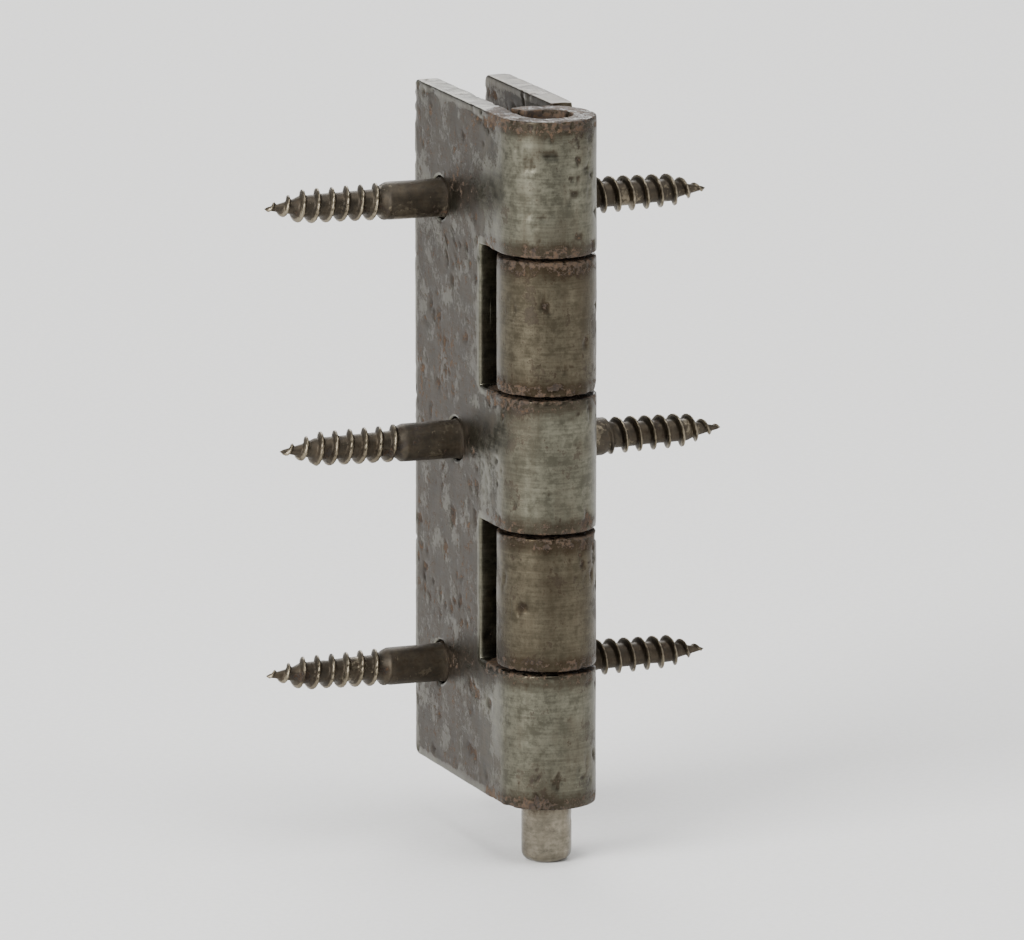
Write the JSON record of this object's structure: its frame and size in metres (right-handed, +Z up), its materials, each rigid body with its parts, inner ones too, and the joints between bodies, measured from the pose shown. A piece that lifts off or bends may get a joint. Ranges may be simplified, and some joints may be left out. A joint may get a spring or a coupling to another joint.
{
  "type": "butt hinge",
  "caption": "Rolled-plate butt hinge with interleaved knuckles on a loose pin and countersunk wood screws, for an inset door.",
  "frame": {"origin": "on the post leaf's outer face, midway between its top and bottom screws; the pin's axis is 4.55 mm along +X and 15.5 mm along -Y from there", "axes": "+Z up the pin, -Y out of the cupboard's front, +X from the post towards the door; the leaves lie along +Y with the door shut"},
  "size_m": [0.0431, 0.0267, 0.0691],
  "materials": {
    "leaf_iron": "rolled iron plate, worn grey, brown rust in the joints",
    "pin_steel": "iron rod rubbed bright in the barrel, dull at its ends",
    "screw_steel": "iron wood screw, browned, with worn slot edges"
  },
  "bodies": {
    "post_side": {"post_leaf": "leaf_iron", "post_screw_top": "screw_steel", "post_screw_middle": "screw_steel", "post_screw_bottom": "screw_steel"},
    "door_side": {"door_leaf": "leaf_iron", "door_screw_top": "screw_steel", "door_screw_middle": "screw_steel", "door_screw_bottom": "screw_steel"},
    "pin": {"hinge_pin": "pin_steel"}
  },
  "joints": [
    {"name": "door_hinge", "type": "hinge", "parent": "post_side", "child": "door_side", "pos_m": [0.00455, -0.0155, 0], "axis": [0, 0, -1], "range_deg": [0, 180]},
    {"name": "pin_slide", "type": "slide", "parent": "post_side", "child": "pin", "axis": [0, 0, 1], "range_m": [0, 0.07]}
  ]
}
